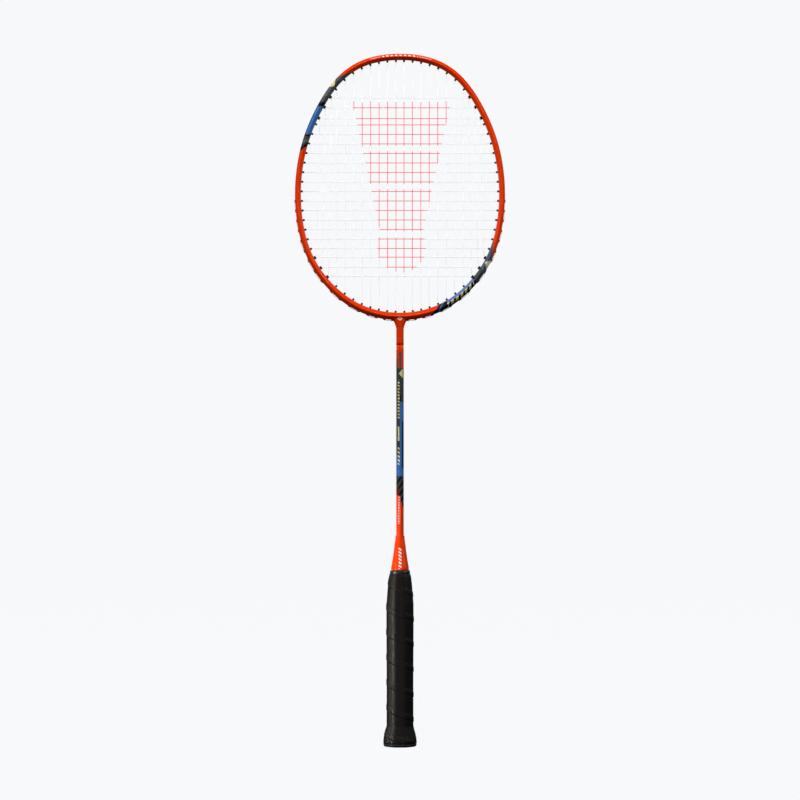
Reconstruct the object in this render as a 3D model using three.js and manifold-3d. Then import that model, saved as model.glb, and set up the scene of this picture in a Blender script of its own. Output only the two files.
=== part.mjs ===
// Badminton racket, strung, standing upright on its butt end.
// Millimetres. +Z runs up the shaft to the tip of the head, +X to the right
// seen from the front, +Y away from the viewer. The origin is the middle of
// the flat end of the butt cap.
import * as THREE from 'three';
import { mergeVertices } from 'three/addons/utils/BufferGeometryUtils.js';
import Module from 'manifold-3d';

const wasm = await Module();
wasm.setup();

// ---------------------------------------------------------------- dimensions

// Hoop: its centreline is r(a) = sum of HOOP_SERIES[k] * cos(k * a) about the
// hoop's centre, where the angle a is 0 at the tip of the head.
const HOOP_CENTRE_Z = 542.3;
const HOOP_SERIES = [112.85, 1.8, 14, 1.9, 0.5, 0, -0.3, -0.4, -0.36, -0.12, -0.16];
const HOOP_HALF_WIDTH = 2.9; // half of the tube's width in the plane of the hoop
const THROAT_EXTRA_WIDTH = 0.75; // added at the throat
const HOOP_HALF_DEPTH = 5; // half of the tube's depth along Y
const SIDE_FLAT = 2.7; // half-depth of the flat outer and inner faces
const RIDGE_FLAT = 0.5; // half-width of the front and back ridges
const WALL = 1.1;
const HOLLOW_SIDE = 2.2; // half-depth of the hollow at its sides, and in its middle
const HOLLOW_MIDDLE = 3.2;
const GROOVE_HALF = 2; // half-width of the channel round the outside
const GROOVE_DEPTH = 2.1; // where strings lie sunk in the upper part
const CHANNEL_DEPTH = 0.3; // in the lower part, under the grommets' flanges
const GROOVE_END = 93 * Math.PI / 180; // the groove stops at this angle on each side
const GROOVE_RUN_OUT = 2 * Math.PI / 180;

// Neck and shaft
const NECK_RADIUS = 3.65;
const NECK_BOTTOM = 391;
const FILLET_START = 402; // height where the neck begins to widen
const FILLET_HEIGHT = 13;
const FILLET_WIDTH = 6;
const FILLET_ROWS = [0, 0.4, 0.65, 0.85, 0.96, 1]; // shares of its height
const NECK_TOP_DEPTH = 4.2; // half-depth where it meets the hoop
const NECK_TOP = 417.5; // buried in the hoop
const SHAFT_RADIUS = 3.65;
const SHAFT_BORE = 2.65;
const SHAFT_BOTTOM = 82;
const SPIGOT_RADIUS = 2.25;
const SPIGOT_BOTTOM = 362;
const JOINT_BAR = { reach: 0.13, half: 1.1, halfDepth: 2.4 }; // reach in radians
const GAP = 0.3; // between pieces that touch
const PAST = 1; // how far a cut runs on past a surface
const OVERLAP = 0.2; // between solids joined into one

// String bed
const STRING_RADIUS = 0.35;
const KNEE_INSIDE = 0.45; // from a barrel's tip to where its string turns
const KNEE_OUTSIDE = 0.25; // between a flange and the string that crosses it
const LAYER = 0.5; // the mains lie this far behind the mid-plane, the crosses in front
const MAIN_FIRST = 3.9; // x of the innermost main
const MAIN_PITCH = 8.23;
const MAINS_TOP = 8; // mains on each side whose holes are theirs alone
const OUTER_MAINS = [69.2, 75.1, 81]; // the next three share their holes with crosses
const OUTER_MAIN_LEAN = 1.4; // how far those lean in at the top and out at the bottom
const CROSS_FIRST = 633.7; // z of the top cross
const CROSS_PITCH = 9.28;
const CROSSES = 20;
const SHARED = OUTER_MAINS.length;
const SPLAY_FIRST = 18 * Math.PI / 180; // extra slant of the holes beside the neck
const SPLAY_STEP = 6 * Math.PI / 180; // less on each one further out

// Grommets: six-sided barrels, radii to the corners
const OWN = { bore: 0.72, barrel: 1.1, hole: 1.5, flange: 1.6 };
const BOTH = { bore: 1.3, barrel: 1.7, hole: 2.1, flange: 2.3 };
const TIP_REACH = 1.9; // how far a barrel stands out inside the hoop
const SEAT_CLEARANCE = 0.25; // between the frame and a flange
const FLANGE_THICKNESS = 0.5;
const DRILL_REACH = 6; // past a flange's seat, out through the tube's outer wall
const STRIP_THICKNESS = 0.6;
const STRIP_HALF_WIDTH = 1.6;
const STRIP_MARGIN = 0.024; // radians of strip past its end holes
const BEND_STEP = 0.07; // radians of each straight length of a bent bar
const BARREL_SIDES = 6;

// Handle: octagons given as half-width, half-depth and the half-lengths of the
// front and side flats, at heights above the butt end
const CORE_SECTIONS = [
  { z: 3.3, a: 14.2, b: 12.6, front: 6.2, side: 5.3 },
  { z: 8, a: 13.6, b: 12, front: 6, side: 5.1 },
  { z: 21, a: 11.3, b: 10.1, front: 5.1, side: 4.4 },
  { z: 138, a: 11.4, b: 10.2, front: 5.1, side: 4.4 },
  { z: 158, a: 9.7, b: 9, front: 4.3, side: 3.9 },
  { z: 171.4, a: 7, b: 6.8, front: 3, side: 3 },
];
const GRIP_SECTIONS = [
  { z: 3.3, a: 16.4, b: 14, front: 7.1, side: 5.9 },
  { z: 8, a: 16, b: 13.75, front: 7, side: 5.8 },
  { z: 21, a: 13.2, b: 12, front: 5.9, side: 5.2 },
  { z: 138, a: 13.35, b: 12.1, front: 6, side: 5.2 },
  { z: 158, a: 11.8, b: 10.9, front: 5.2, side: 4.6 },
  { z: 166.2, a: 10.8, b: 10.2, front: 4.7, side: 4.4 },
  { z: 166.6, a: 8.7, b: 8.5, front: 3.7, side: 3.6 },
  { z: 171.2, a: 8.5, b: 8.3, front: 3.6, side: 3.5 },
];
const CAP_SECTIONS = [
  { z: 0, a: 14.8, b: 12.6, front: 6.4, side: 5.3 },
  { z: 1.4, a: 15.9, b: 13.6, front: 6.9, side: 5.8 },
  { z: 3, a: 16.3, b: 13.9, front: 7.1, side: 5.9 },
];
const TAPE_SECTIONS = [
  { z: 166.9, a: 9.9, b: 9.6, front: 4.2, side: 4.1 },
  { z: 171.6, a: 9.5, b: 9.3, front: 4.1, side: 4 },
];
const TAPE_THICKNESS = 0.5;
const SHAFT_SOCKET = 4.1; // radius of the bore in the handle
const SHAFT_SOCKET_BOTTOM = 80;
const CAP_PEG_RADIUS = 4;
const CAP_PEG_TOP = 10;
const BADGE_RADIUS = 7.6;
const BADGE_THICKNESS = 0.7;
const BADGE_DEPTH = 0.3; // the badge lies this far up in its recess
const STAPLE = { z: 27, width: 9, leg: 5, wire: 0.6 };
const CONE_OUTER = [[8.7, 171.9], [8.5, 174.5], [6.8, 185.3], [5.6, 197], [4.3, 203.4], [4.3, 205.2]];
const CONE_INNER = [[3.95, 205.2], [3.95, 201.5], [4.6, 197], [5.8, 185.3], [7.5, 171.9]];

// ------------------------------------------------------------------ materials

const finish = (color, roughness, metalness = 0) =>
  new THREE.MeshStandardMaterial({ color, roughness, metalness });
const ORANGE_PAINT = finish(0xe0441a, 0.28, 0.1);
const SHAFT_PAINT = finish(0x33363a, 0.3, 0.1);
const CARBON = finish(0x1d1e20, 0.45);
const BLACK_NYLON = finish(0x141414, 0.5);
const STRING_WHITE = finish(0xf1f3f6, 0.35);
const PALE_WOOD = finish(0xc9a877, 0.7);
const GRIP_BLACK = finish(0x1a1918, 0.75);
const TAPE_BLACK = finish(0x232323, 0.45);
const CAP_BLACK = finish(0x161616, 0.5);
const BADGE_ORANGE = finish(0xd9481c, 0.35);
const STEEL = finish(0xb4b7ba, 0.35, 0.9);

// -------------------------------------------------------------- solid helpers

// A closed three.js geometry as a manifold solid with its faces pointing out.
function solid(geometry) {
  const bare = geometry.index ? geometry.clone() : geometry;
  bare.deleteAttribute('normal');
  bare.deleteAttribute('uv');
  const merged = mergeVertices(bare, 1e-4);
  const vertices = merged.attributes.position.array;
  const corners = Array.from(merged.index.array);
  const kept = [];
  for (let i = 0; i < corners.length; i += 3) {
    const [a, b, c] = corners.slice(i, i + 3);
    if (a !== b && b !== c && c !== a) kept.push(a, b, c);
  }
  if (signedVolume(vertices, kept) < 0) kept.reverse();
  return new wasm.Manifold(new wasm.Mesh({
    numProp: 3,
    vertProperties: Float32Array.from(vertices),
    triVerts: Uint32Array.from(kept),
  }));
}

function signedVolume(vertices, corners) {
  const [a, b, c] = [new THREE.Vector3(), new THREE.Vector3(), new THREE.Vector3()];
  let total = 0;
  for (let i = 0; i < corners.length; i += 3) {
    a.fromArray(vertices, corners[i] * 3);
    b.fromArray(vertices, corners[i + 1] * 3);
    c.fromArray(vertices, corners[i + 2] * 3);
    total += a.dot(b.cross(c));
  }
  return total;
}

const racket = new THREE.Group();

function addPiece(name, body, material) {
  const mesh = body.getMesh();
  const geometry = new THREE.BufferGeometry();
  geometry.setAttribute('position', new THREE.BufferAttribute(mesh.vertProperties, 3));
  geometry.setIndex(new THREE.BufferAttribute(mesh.triVerts, 1));
  geometry.computeVertexNormals();
  const piece = new THREE.Mesh(geometry, material);
  piece.name = name;
  racket.add(piece);
}

// A cylinder with each ring of corners moved to corner(row, k).
function loft(sides, heights, corner) {
  const last = heights.length - 1;
  const geometry = new THREE.CylinderGeometry(1, 1, 1, sides, last);
  const position = geometry.attributes.position;
  for (let i = 0; i < position.count; i++) {
    const row = Math.round((position.getY(i) + 0.5) * last);
    const onAxis = Math.hypot(position.getX(i), position.getZ(i)) < 0.5;
    const turn = Math.atan2(position.getX(i), position.getZ(i)) / (2 * Math.PI);
    const k = (Math.round(turn * sides) + sides) % sides;
    const [x, y] = onAxis ? [0, 0] : corner(row, k);
    position.setXYZ(i, x, y, heights[row]);
  }
  return solid(geometry);
}

// Lofts octagons, each drawn in by the inset.
function octagonal(sections, inset = 0) {
  const cut = inset * Math.tan(Math.PI / 8); // off each flat's half-length
  return loft(8, sections.map((s) => s.z), (row, k) => {
    const { a, b, front, side } = sections[row];
    const long = k % 4 === 0 || k % 4 === 3;
    const x = long ? front - cut : a - inset;
    const y = long ? b - inset : side - cut;
    return [k < 4 ? x : -x, k < 2 || k > 5 ? y : -y];
  });
}

function roundBar(radius, bottom, top, sides = 12) {
  const geometry = new THREE.CylinderGeometry(radius, radius, top - bottom, sides);
  geometry.rotateX(Math.PI / 2).translate(0, 0, (top + bottom) / 2);
  return solid(geometry);
}

function box(width, depth, height, x, y, z) {
  return solid(new THREE.BoxGeometry(width, depth, height).translate(x, y, z));
}

// A body of revolution about Z whose outline closes on itself.
function ring(profile, sides) {
  const points = [...profile, profile[0]].map(([r, z]) => new THREE.Vector2(r, z));
  return solid(new THREE.LatheGeometry(points, sides).rotateX(Math.PI / 2));
}

// ------------------------------------------------------------------ hoop shape

// The centreline at an angle, with the outward normal and the tube's half-width.
function hoopAt(angle) {
  const r = HOOP_SERIES.reduce((sum, c, k) => sum + c * Math.cos(k * angle), 0);
  const slope = HOOP_SERIES.reduce((sum, c, k) => sum - c * k * Math.sin(k * angle), 0);
  const alongX = slope * Math.sin(angle) + r * Math.cos(angle);
  const alongZ = slope * Math.cos(angle) - r * Math.sin(angle);
  const length = Math.hypot(alongX, alongZ);
  const low = (1 - Math.cos(angle)) / 2; // 0 at the tip, 1 at the throat
  return {
    x: r * Math.sin(angle),
    z: HOOP_CENTRE_Z + r * Math.cos(angle),
    nx: -alongZ / length,
    nz: alongX / length,
    half: HOOP_HALF_WIDTH + THROAT_EXTRA_WIDTH * low ** 8,
  };
}

const inGroove = (angle) => Math.cos(angle) > Math.cos(GROOVE_END + GROOVE_RUN_OUT / 2);
const grooveDepth = (angle) => (inGroove(angle) ? GROOVE_DEPTH : CHANNEL_DEPTH);

// Angles of the stations round the hoop, with a short run-out at each groove end.
function stationAngles() {
  const upper = 42;
  const lower = 38;
  const angles = [];
  for (let i = 0; i <= upper; i++) angles.push(GROOVE_END * (2 * i / upper - 1));
  const start = GROOVE_END + GROOVE_RUN_OUT;
  for (let i = 0; i <= lower; i++) angles.push(start + 2 * (Math.PI - start) * i / lower);
  return angles;
}

// A torus with each ring of corners moved to corner(hoop point, angle, k), which
// gives the distance outward from the centreline and the depth.
function roundTheHoop(sides, corner) {
  const angles = stationAngles();
  const stations = angles.length;
  const geometry = new THREE.TorusGeometry(10, 1, sides, stations);
  const position = geometry.attributes.position;
  for (let j = 0; j <= sides; j++) {
    for (let i = 0; i <= stations; i++) {
      const angle = angles[i % stations];
      const at = hoopAt(angle);
      const [out, y] = corner(at, angle, j % sides);
      position.setXYZ(j * (stations + 1) + i, at.x + at.nx * out, y, at.z + at.nz * out);
    }
  }
  return solid(geometry);
}

function hoopShell() {
  return roundTheHoop(12, ({ half }, angle, k) => {
    const floor = half - grooveDepth(angle);
    return [
      [half, -SIDE_FLAT], [half, -GROOVE_HALF], [floor, -GROOVE_HALF],
      [floor, GROOVE_HALF], [half, GROOVE_HALF], [half, SIDE_FLAT],
      [RIDGE_FLAT, HOOP_HALF_DEPTH], [-RIDGE_FLAT, HOOP_HALF_DEPTH], [-half, SIDE_FLAT],
      [-half, -SIDE_FLAT], [-RIDGE_FLAT, -HOOP_HALF_DEPTH], [RIDGE_FLAT, -HOOP_HALF_DEPTH],
    ][k];
  });
}

function hoopCavity() {
  return roundTheHoop(6, ({ half }, angle, k) => {
    const outer = half - grooveDepth(angle) - WALL;
    const inner = WALL - half;
    const middle = (outer + inner) / 2;
    return [
      [outer, -HOLLOW_SIDE], [outer, HOLLOW_SIDE], [middle, HOLLOW_MIDDLE],
      [inner, HOLLOW_SIDE], [inner, -HOLLOW_SIDE], [middle, -HOLLOW_MIDDLE],
    ][k];
  });
}

// A straight box bent round the hoop between two angles.
function bentBar(from, to, inner, outer, halfDepth, y) {
  const steps = Math.max(2, Math.round(Math.abs(to - from) / BEND_STEP));
  const geometry = new THREE.BoxGeometry(1, 2 * halfDepth, 1, steps, 1, 1);
  const position = geometry.attributes.position;
  for (let i = 0; i < position.count; i++) {
    const at = hoopAt(from + (position.getX(i) + 0.5) * (to - from));
    const out = at.half + (position.getZ(i) > 0 ? outer : inner);
    const depth = position.getY(i) + y;
    position.setXYZ(i, at.x + at.nx * out, depth, at.z + at.nz * out);
  }
  return solid(geometry);
}

// ---------------------------------------------------------------- string holes

// A hole's place: its point on the centreline, its direction outward, and how
// far its grommet reaches from there inward and outward.
function holeAt(angle, splay = 0) {
  const at = hoopAt(angle);
  const dx = at.nx * Math.cos(splay) - at.nz * Math.sin(splay);
  const dz = at.nz * Math.cos(splay) + at.nx * Math.sin(splay);
  return { ...at, angle, dx, dz, splay, tip: at.half / Math.cos(splay) + TIP_REACH };
}

const tipX = (hole) => hole.x - hole.dx * hole.tip;
const tipZ = (hole) => hole.z - hole.dz * hole.tip;

// The hole between two angles whose tip measures the wanted value.
function findHole(measure, wanted, from, to, splay = 0) {
  const rising = measure(holeAt(to, splay)) > measure(holeAt(from, splay));
  let [low, high] = [from, to];
  for (let i = 0; i < 40; i++) {
    const middle = (low + high) / 2;
    const above = measure(holeAt(middle, splay)) > wanted;
    if (above === rising) high = middle;
    else low = middle;
  }
  return holeAt((low + high) / 2, splay);
}

function sharedHole(x, z, from, to) {
  const byX = findHole(tipX, x, from, to);
  const byZ = findHole(tipZ, z, from, to);
  return holeAt((byX.angle + byZ.angle) / 2);
}

const mainX = (k) => MAIN_FIRST + MAIN_PITCH * k;
const crossZ = (k) => CROSS_FIRST - CROSS_PITCH * k;

// The holes of the right half, from the tip down. Each belongs to a main (top
// or bottom end), to a cross, or to both.
function rightHoles() {
  const holes = [];
  const [top, side, bottom] = [0.001, Math.PI / 2, Math.PI - 0.001];
  const [shoulder, corner] = [0.3, 2.6];
  for (let k = 0; k < MAINS_TOP; k++) {
    holes.push({ ...findHole(tipX, mainX(k), top, side), size: OWN, topMain: k });
    const splay = Math.max(0, SPLAY_FIRST - SPLAY_STEP * k);
    const low = findHole(tipX, mainX(k), bottom, side, splay);
    holes.push({ ...low, size: OWN, bottomMain: k });
  }
  OUTER_MAINS.forEach((x, i) => {
    const main = MAINS_TOP + i;
    const lowCross = CROSSES - 1 - i;
    const high = sharedHole(x - OUTER_MAIN_LEAN, crossZ(i), top, side);
    holes.push({ ...high, size: BOTH, topMain: main, cross: i });
    const low = sharedHole(x + OUTER_MAIN_LEAN, crossZ(lowCross), side, bottom);
    holes.push({ ...low, size: BOTH, bottomMain: main, cross: lowCross });
  });
  for (let k = SHARED; k < CROSSES - SHARED; k++) {
    holes.push({ ...findHole(tipZ, crossZ(k), shoulder, corner), size: OWN, cross: k });
  }
  return holes;
}

// Mirrors a hole for the left half, and sets its depth and outer end.
function place(hole, side) {
  const sunk = inGroove(hole.angle);
  const lean = hole.size.flange * Math.tan(Math.abs(hole.splay)); // the flange's low side
  const seat = sunk
    ? hole.half - GROOVE_DEPTH + GAP
    : (hole.half + SEAT_CLEARANCE) / Math.cos(hole.splay) + lean;
  const thickness = sunk ? STRIP_THICKNESS : FLANGE_THICKNESS;
  const isMain = hole.cross === undefined;
  return {
    ...hole,
    side,
    sunk,
    seat,
    end: seat + thickness,
    x: side * hole.x,
    dx: side * hole.dx,
    y: hole.size === BOTH ? 0 : (isMain ? LAYER : -LAYER),
  };
}

const HOLES = [-1, 1].flatMap((side) => rightHoles().map((hole) => place(hole, side)));
const pick = (side, key, k) => HOLES.find((hole) => hole.side === side && hole[key] === k);

// Turns a body built along Z, outward end up, into a hole's own direction.
function intoHole(body, hole) {
  const out = new THREE.Vector3(hole.dx, 0, hole.dz);
  const depth = new THREE.Vector3(0, 1, 0);
  const across = new THREE.Vector3().crossVectors(depth, out);
  const matrix = new THREE.Matrix4().makeBasis(across, depth, out).setPosition(hole.x, hole.y, hole.z);
  return body.transform(matrix.elements);
}

function drill(hole) {
  const { hole: radius, flange } = hole.size;
  const inner = -hole.tip - PAST;
  const shoulder = hole.seat - GAP;
  const outer = hole.seat + DRILL_REACH;
  if (hole.sunk) return intoHole(roundBar(radius, inner, outer, BARREL_SIDES), hole);
  const wide = flange + GAP / Math.cos(Math.PI / BARREL_SIDES); // clear of its flats too
  const points = [
    [0, inner],
    [radius, inner],
    [radius, shoulder],
    [wide, shoulder],
    [wide, outer],
    [0, outer],
  ].map(([r, z]) => new THREE.Vector2(r, z));
  const geometry = new THREE.LatheGeometry(points, BARREL_SIDES).rotateX(Math.PI / 2);
  return intoHole(solid(geometry), hole);
}

// ---------------------------------------------------------------------- frame

function neck() {
  const rows = FILLET_ROWS.map((t) => FILLET_START + FILLET_HEIGHT * t);
  const heights = [NECK_BOTTOM, ...rows, NECK_TOP];
  const sides = 16;
  return loft(sides, heights, (row, k) => {
    const t = THREE.MathUtils.clamp((heights[row] - FILLET_START) / FILLET_HEIGHT, 0, 1);
    const width = NECK_RADIUS + FILLET_WIDTH * (1 - Math.sqrt(1 - t * t));
    const depth = NECK_RADIUS + (NECK_TOP_DEPTH - NECK_RADIUS) * t * t;
    const angle = 2 * Math.PI * k / sides;
    return [width * Math.sin(angle), depth * Math.cos(angle)];
  });
}

function makeFrame() {
  let body = hoopShell().add(neck());
  body = body.subtract(hoopCavity());
  body = body.subtract(roundBar(SHAFT_BORE, NECK_BOTTOM - PAST, hoopAt(Math.PI).z));
  for (const hole of HOLES) body = body.subtract(drill(hole));
  addPiece('frame', body, ORANGE_PAINT);
}

// The T-shaped joint bonded inside the throat: a bent bar in the hoop's hollow
// and a spigot down through the neck into the shaft.
function makeJoint() {
  const { half, z } = hoopAt(Math.PI);
  const middle = -half - CHANNEL_DEPTH / 2;
  const [inner, outer] = [middle - JOINT_BAR.half, middle + JOINT_BAR.half];
  const { reach, halfDepth } = JOINT_BAR;
  let body = bentBar(Math.PI - reach, Math.PI + reach, inner, outer, halfDepth, 0);
  body = body.add(roundBar(SPIGOT_RADIUS, SPIGOT_BOTTOM, z));
  for (const hole of HOLES.filter((h) => h.bottomMain < 3)) body = body.subtract(drill(hole));
  addPiece('t_joint', body, CARBON);
}

// -------------------------------------------------------------------- grommets

function singleGrommet(name, hole) {
  const { bore, barrel, flange } = hole.size;
  const body = ring([
    [bore, -hole.tip], [barrel, -hole.tip], [barrel, hole.seat],
    [flange, hole.seat], [flange, hole.end], [bore, hole.end],
  ], BARREL_SIDES);
  addPiece(name, intoHole(body, hole), BLACK_NYLON);
}

// A strip in the groove with one barrel for each of its holes.
function grommetStrip(name, holes) {
  const angles = holes.map((hole) => hole.angle);
  const side = holes[0].side;
  const from = side * (Math.min(...angles) - STRIP_MARGIN);
  const to = side * (Math.max(...angles) + STRIP_MARGIN);
  const bottom = GAP - GROOVE_DEPTH;
  let body = bentBar(from, to, bottom, bottom + STRIP_THICKNESS, STRIP_HALF_WIDTH, 0);
  for (const hole of holes) {
    const barrel = roundBar(hole.size.barrel, -hole.tip, hole.seat + OVERLAP, BARREL_SIDES);
    body = body.add(intoHole(barrel, hole));
  }
  for (const hole of holes) {
    const bore = roundBar(hole.size.bore, -hole.tip - PAST, hole.end + PAST, BARREL_SIDES);
    body = body.subtract(intoHole(bore, hole));
  }
  addPiece(name, body, BLACK_NYLON);
}

function makeGrommets(side) {
  const hand = side < 0 ? 'left' : 'right';
  const mains = (from, to) => range(from, to).map((k) => pick(side, 'topMain', k));
  const crosses = (from, to) => range(from, to).map((k) => pick(side, 'cross', k));
  const stripLength = 4;
  grommetStrip(`strip_top_inner_${hand}`, mains(0, stripLength));
  grommetStrip(`strip_top_outer_${hand}`, mains(stripLength, MAINS_TOP));
  grommetStrip(`strip_corner_${hand}`, crosses(0, SHARED));
  grommetStrip(`strip_side_upper_${hand}`, crosses(SHARED, SHARED + stripLength));
  const firstOpen = SHARED + 2 * stripLength;
  grommetStrip(`strip_side_lower_${hand}`, crosses(SHARED + stripLength, firstOpen));
  for (const k of range(firstOpen, CROSSES)) {
    singleGrommet(`grommet_row_${k + 1}_${hand}`, pick(side, 'cross', k));
  }
  for (const k of range(0, MAINS_TOP)) {
    singleGrommet(`grommet_main_${k + 1}_${hand}`, pick(side, 'bottomMain', k));
  }
}

function range(from, to) {
  return Array.from({ length: to - from }, (_, i) => from + i);
}

// --------------------------------------------------------------------- strings

// A line through given stations, cut square to the bisector at each one.
class StationLine extends THREE.Curve {
  constructor(stations) {
    super();
    this.stations = stations;
  }

  getPointAt(u) {
    return this.stations[Math.round(u * (this.stations.length - 1))].clone();
  }

  getTangentAt(u) {
    const last = this.stations.length - 1;
    const i = Math.round(u * last);
    const here = this.stations[i];
    const before = this.stations[Math.max(0, i - 1)];
    const after = this.stations[Math.min(last, i + 1)];
    const arriving = here.clone().sub(before).normalize();
    const leaving = after.clone().sub(here).normalize();
    return arriving.add(leaving).normalize();
  }
}

const alongHole = (hole, out, y) =>
  new THREE.Vector3(hole.x + hole.dx * out, y, hole.z + hole.dz * out);
const insideKnee = (hole, y) => alongHole(hole, -hole.tip - KNEE_INSIDE, y);
const outsideKnee = (hole, y) => alongHole(hole, hole.end + STRING_RADIUS + KNEE_OUTSIDE, y);

// One length of string threaded through pairs of holes: out of the bed at one,
// round the outside, and back in at the next.
function threadString(name, spans, y) {
  const stations = spans.flatMap(([first, second]) => [
    outsideKnee(first, y), insideKnee(first, y), insideKnee(second, y), outsideKnee(second, y),
  ]);
  const section = new THREE.Shape();
  for (let i = 0; i < BARREL_SIDES; i++) {
    const angle = 2 * Math.PI * i / BARREL_SIDES;
    const [u, v] = [STRING_RADIUS * Math.cos(angle), STRING_RADIUS * Math.sin(angle)];
    if (i === 0) section.moveTo(u, v);
    else section.lineTo(u, v);
  }
  section.closePath();
  const geometry = new THREE.ExtrudeGeometry(section, {
    steps: stations.length - 1, curveSegments: 1, extrudePath: new StationLine(stations),
  });
  addPiece(name, solid(geometry), STRING_WHITE);
}

function makeMainString() {
  const count = MAINS_TOP + SHARED;
  const spans = [];
  for (const k of range(0, count)) {
    for (const side of [-1, 1]) {
      const [top, bottom] = [pick(side, 'topMain', k), pick(side, 'bottomMain', k)];
      const upward = (k % 2 === 0) === (side < 0);
      const span = upward ? [bottom, top] : [top, bottom];
      if (side < 0) spans.unshift(span);
      else spans.push(span);
    }
  }
  threadString('main_string', spans, LAYER);
}

function makeCrossString() {
  const spans = range(0, CROSSES).map((k) => {
    const ends = [pick(-1, 'cross', k), pick(1, 'cross', k)];
    return k % 2 === 0 ? ends : ends.reverse();
  });
  threadString('cross_string', spans, -LAYER);
}

// ----------------------------------------------------------- shaft and handle

function makeShaft() {
  const top = NECK_BOTTOM - GAP;
  const profile = [
    [SHAFT_BORE, SHAFT_BOTTOM], [SHAFT_RADIUS, SHAFT_BOTTOM], [SHAFT_RADIUS, top], [SHAFT_BORE, top],
  ];
  addPiece('shaft', ring(profile, 12), SHAFT_PAINT);
}

function makeConeCap() {
  addPiece('cone_cap', ring([...CONE_OUTER, ...CONE_INNER], 24), ORANGE_PAINT);
}

// Wire staple that holds the start of the grip tape: a crown and two legs.
function stapleShape(clearance) {
  const { z, width, leg, wire } = STAPLE;
  const surface = CORE_SECTIONS[2].b;
  const size = wire + 2 * clearance;
  let body = box(width + 2 * clearance, size, size, 0, surface - wire / 2 - GAP, z);
  for (const side of [-1, 1]) {
    const x = side * (width - wire) / 2;
    const reach = leg + clearance;
    body = body.add(box(size, reach, size, x, surface - wire / 2 - GAP - reach / 2, z));
  }
  return body;
}

function makeHandle() {
  const coreTop = CORE_SECTIONS.at(-1).z;
  const core = octagonal(CORE_SECTIONS)
    .subtract(roundBar(SHAFT_SOCKET, SHAFT_SOCKET_BOTTOM, coreTop + PAST))
    .subtract(roundBar(CAP_PEG_RADIUS + GAP, CORE_SECTIONS[0].z - PAST, CAP_PEG_TOP + GAP))
    .subtract(stapleShape(GAP))
    .subtract(box(STAPLE.width + 2 * GAP, 2, STAPLE.wire + 2 * GAP, 0, CORE_SECTIONS[2].b, STAPLE.z));
  addPiece('handle_core', core, PALE_WOOD);
  addPiece('grip_staple', stapleShape(0), STEEL);

  const inside = CORE_SECTIONS.map((s, i) => ({
    ...s,
    z: i === 0 ? s.z - PAST : s.z + (i === CORE_SECTIONS.length - 1 ? PAST : 0),
  }));
  const grip = octagonal(GRIP_SECTIONS).subtract(octagonal(inside, -GAP));
  addPiece('grip_tape', grip, GRIP_BLACK);

  const hollow = TAPE_SECTIONS.map((s, i) => ({ ...s, z: s.z + (i === 0 ? -PAST : PAST) }));
  const tape = octagonal(TAPE_SECTIONS).subtract(octagonal(hollow, TAPE_THICKNESS));
  addPiece('finishing_tape', tape, TAPE_BLACK);
}

function makeButtEnd() {
  const recess = roundBar(BADGE_RADIUS + GAP, -PAST, BADGE_DEPTH + BADGE_THICKNESS + GAP, 24);
  const cap = octagonal(CAP_SECTIONS)
    .add(roundBar(CAP_PEG_RADIUS, CAP_SECTIONS.at(-1).z - OVERLAP, CAP_PEG_TOP))
    .subtract(recess);
  addPiece('butt_cap', cap, CAP_BLACK);
  const badge = roundBar(BADGE_RADIUS, BADGE_DEPTH, BADGE_DEPTH + BADGE_THICKNESS, 24);
  addPiece('butt_badge', badge, BADGE_ORANGE);
}

makeFrame();
makeJoint();
makeShaft();
makeConeCap();
makeHandle();
makeButtEnd();
makeGrommets(-1);
makeGrommets(1);
makeMainString();
makeCrossString();

export default racket;
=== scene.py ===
from functools import reduce
from math import atan2, ceil, cos, exp, hypot, pi as PI, radians, sin, sqrt, tan

import bmesh
import bpy
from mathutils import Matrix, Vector


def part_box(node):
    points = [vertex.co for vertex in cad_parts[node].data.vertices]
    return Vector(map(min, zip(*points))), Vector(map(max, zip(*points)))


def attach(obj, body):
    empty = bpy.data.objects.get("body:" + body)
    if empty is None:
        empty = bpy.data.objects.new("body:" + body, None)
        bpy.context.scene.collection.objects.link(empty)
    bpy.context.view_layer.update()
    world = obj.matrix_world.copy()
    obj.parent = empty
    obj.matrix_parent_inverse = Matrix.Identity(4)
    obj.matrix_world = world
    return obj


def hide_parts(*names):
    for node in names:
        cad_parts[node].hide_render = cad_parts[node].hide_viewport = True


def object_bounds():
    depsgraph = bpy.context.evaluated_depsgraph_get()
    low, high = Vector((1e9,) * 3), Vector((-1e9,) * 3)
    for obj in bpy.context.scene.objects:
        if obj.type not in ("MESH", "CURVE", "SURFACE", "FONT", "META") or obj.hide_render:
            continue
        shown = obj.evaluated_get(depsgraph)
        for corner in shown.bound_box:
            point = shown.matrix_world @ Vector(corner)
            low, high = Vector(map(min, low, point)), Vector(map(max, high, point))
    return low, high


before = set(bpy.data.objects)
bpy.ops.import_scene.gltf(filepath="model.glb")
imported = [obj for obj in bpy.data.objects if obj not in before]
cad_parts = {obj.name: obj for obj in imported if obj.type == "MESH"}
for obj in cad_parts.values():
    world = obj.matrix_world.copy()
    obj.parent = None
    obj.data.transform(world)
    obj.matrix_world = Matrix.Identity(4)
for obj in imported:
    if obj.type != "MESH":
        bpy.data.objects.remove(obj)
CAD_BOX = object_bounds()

# Badminton racket. Lengths here are millimetres, and MM turns them into the
# frame's metres. +Z runs up the shaft, +X to the right seen from the front.
MM = 0.001
scene = bpy.context.scene


def node_box(name):
    """Lowest and highest corner of a CAD node, in millimetres."""
    low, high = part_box(name)
    return [v / MM for v in low], [v / MM for v in high]


# ---- dimensions

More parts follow.
